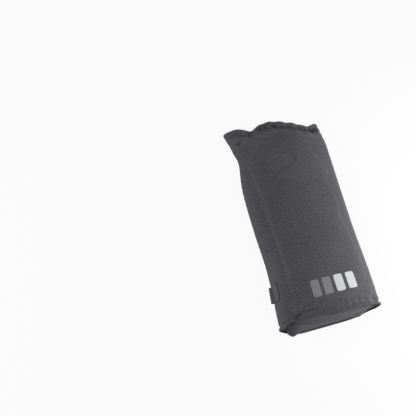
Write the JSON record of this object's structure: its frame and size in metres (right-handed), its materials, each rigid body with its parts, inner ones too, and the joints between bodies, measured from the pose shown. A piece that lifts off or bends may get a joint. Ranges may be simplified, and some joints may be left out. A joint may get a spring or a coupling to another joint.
{
  "type": "fork protector",
  "caption": "Soft padded sleeve that slips over the ends of a bicycle's front fork, with a gathered elastic mouth and a boxed bottom.",
  "frame": {"origin": "on the resting plane, under the middle of the flat back panel", "axes": "+X across the sleeve to the right seam, +Y up the sleeve towards its mouth, +Z out of the front panel"},
  "size_m": [0.1912, 0.3816, 0.0692],
  "materials": {
    "outer_cloth": "matt coated plain weave",
    "foam": "soft closed-cell foam",
    "lining": "smooth thin lining",
    "elastic": "ribbed elastic tape",
    "ribbon": "woven ribbon"
  },
  "bodies": {
    "root": {"front_panel": "outer_cloth", "back_panel": "outer_cloth", "bottom_panel": "outer_cloth", "front_padding": "foam", "back_padding": "foam", "bottom_padding": "foam", "front_lining": "lining", "back_lining": "lining", "bottom_lining": "lining", "mouth_elastic": "elastic", "side_label": "ribbon"}
  },
  "joints": []
}
